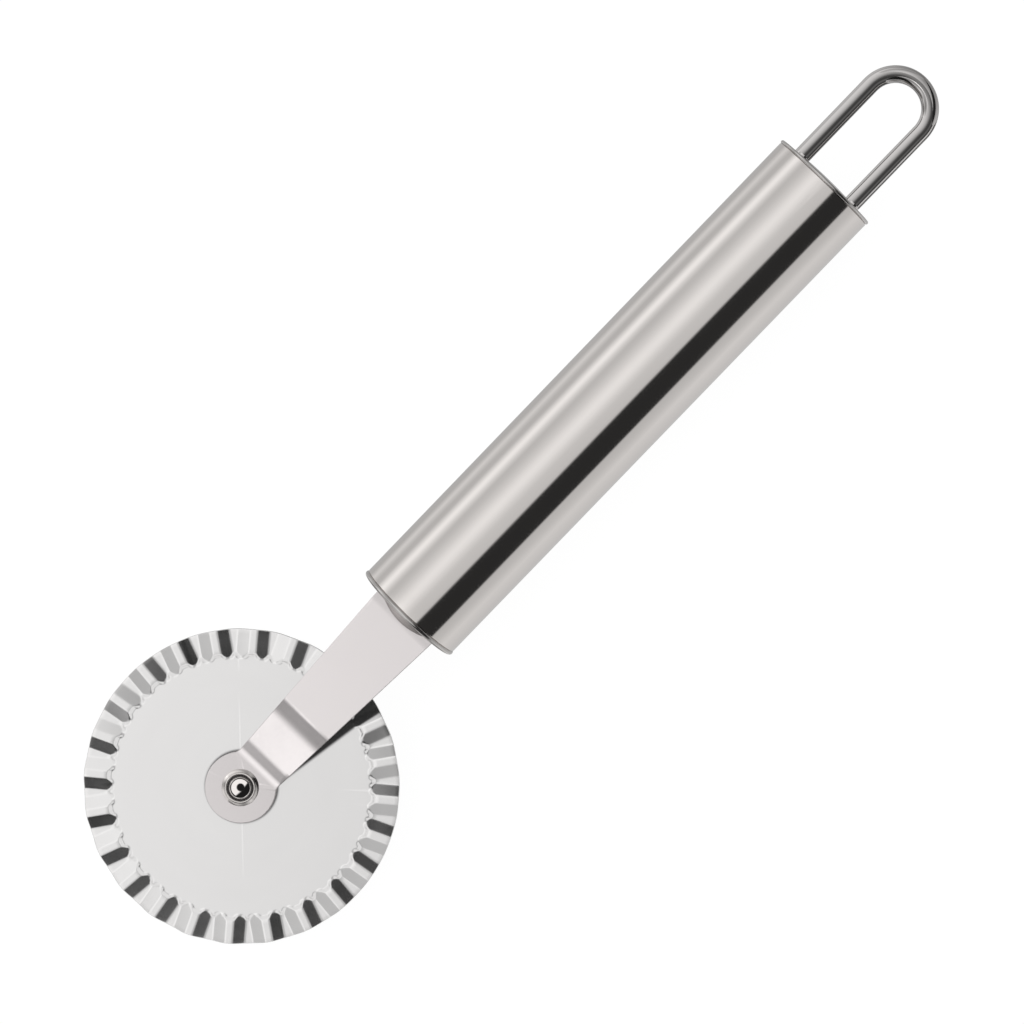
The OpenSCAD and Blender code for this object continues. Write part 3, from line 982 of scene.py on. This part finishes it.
def make_cards(wheel, rivet, loop):
    """A sky of their own for the reflections in the wheel, the rivet and the loop."""
    wheel_z = WHEEL_HIGH.z + 0.05
    wheel_reach = WHEEL_HIGH.z - WHEEL_LOW.z + 0.1
    make_card("wheel_card", round_axle_card(WHEEL_CARD_R), wheel_z, wheel, wheel_reach, wheel_card_brightness)
    rivet_z = RIVET_HIGH.z + 0.3
    rivet_reach = 1.05
    make_card("rivet_card", round_axle_card(RIVET_CARD_R), rivet_z, rivet, rivet_reach, rivet_card_brightness)
    gap = 0.1
    near_x = REAR_CAP_HIGH.x + gap
    far_x = LOOP_HIGH.x + LOOP_CARD_REACH
    side_y = LOOP_HIGH.y + LOOP_CARD_REACH
    round_loop = [(near_x, -side_y), (far_x, -side_y), (far_x, side_y), (near_x, side_y)]
    loop_z = WIRE_R + gap
    for side_name, z in (("upper", loop_z), ("lower", -loop_z)):
        make_card("loop_card_" + side_name, round_loop, z, loop, 2 * loop_z, loop_card_brightness,
                  LOOP_CARD_LEAN)


def make_camera():
    """Looks down on the tool from above the handle's rear part. The handle rises to the right at 46
    degrees. field is the width that the picture shows round the aim. Lengths in metres."""
    eye = Vector((0.026, 0.0, 0.71))
    aim = Vector((-0.0263, -0.0007, 0.0))
    field = 0.17478
    turn = math.radians(46.02)
    back = (eye - aim).normalized()
    along = Vector((0, 1, 0)).cross(back).normalized()
    side = back.cross(along)
    right = along * math.cos(turn) - side * math.sin(turn)
    up = along * math.sin(turn) + side * math.cos(turn)
    data = bpy.data.cameras.new("camera")
    data.sensor_width = 36.0
    data.lens = data.sensor_width * (eye - aim).length / field
    camera = new_object("camera", data)
    rows = [(right[k], up[k], back[k], eye[k]) for k in range(3)]
    camera.matrix_world = Matrix(rows + [(0, 0, 0, 1)])
    bpy.context.scene.camera = camera


# ---------------------------------------------------------------- the tool

def build_wheel(looks):
    """Makes the wheel and returns it."""
    wheel = add_piece("fluted_wheel", fluted_wheel(), looks["wheel"], "cutter_wheel")
    smooth(wheel)
    return wheel


def build_fork(looks):
    """Makes the two leaves."""
    for name, node, side in (("front_leaf", "front_fork_leaf", 1), ("rear_leaf", "rear_fork_leaf", -1)):
        smooth(add_piece(name, fork_leaf(side), looks["leaf"], node))


def build_axle(looks):
    """Makes the rivet with its two rings, gives the hidden hub parts their steel, and returns the rivet."""
    rivet = add_piece("rivet", axle_rivet(), looks["rivet"], "axle_rivet")
    smooth(rivet)
    smooth(add_piece("front_ring", rivet_ring(1), looks["ring"], "front_rivet_washer"))
    smooth(add_piece("rear_ring", rivet_ring(-1), looks["ring"], "rear_rivet_washer"))
    for node in ("hub_bush", "front_hub_washer", "rear_hub_washer"):
        part = frame["nodes"][node]
        part.data.materials.clear()
        part.data.materials.append(looks["hub"])
    return rivet


def build_handle(looks):
    """Makes the tube, its two caps and the hanging loop, and returns the loop."""
    smooth(add_piece("grip_tube", handle_tube(), looks["tube"], "handle_tube"))
    front = add_piece("front_end_cap", front_cap(), looks["cap"], "front_cap")
    cut(front, leaf_slot_blocks())
    smooth(front)
    rear = add_piece("rear_end_cap", rear_cap(), looks["cap"], "rear_cap")
    cut(rear, leg_hole_rods())
    smooth(rear)
    loop = add_piece("wire_loop", wire_loop(), looks["loop"], "hanging_loop")
    smooth(loop)
    return loop


materials = make_materials()
wheel_piece = build_wheel(materials)
build_fork(materials)
rivet_piece = build_axle(materials)
loop_piece = build_handle(materials)
make_world()
make_floor()
make_cards(wheel_piece, rivet_piece, loop_piece)
make_camera()
bpy.context.scene.view_settings.view_transform = "Standard"
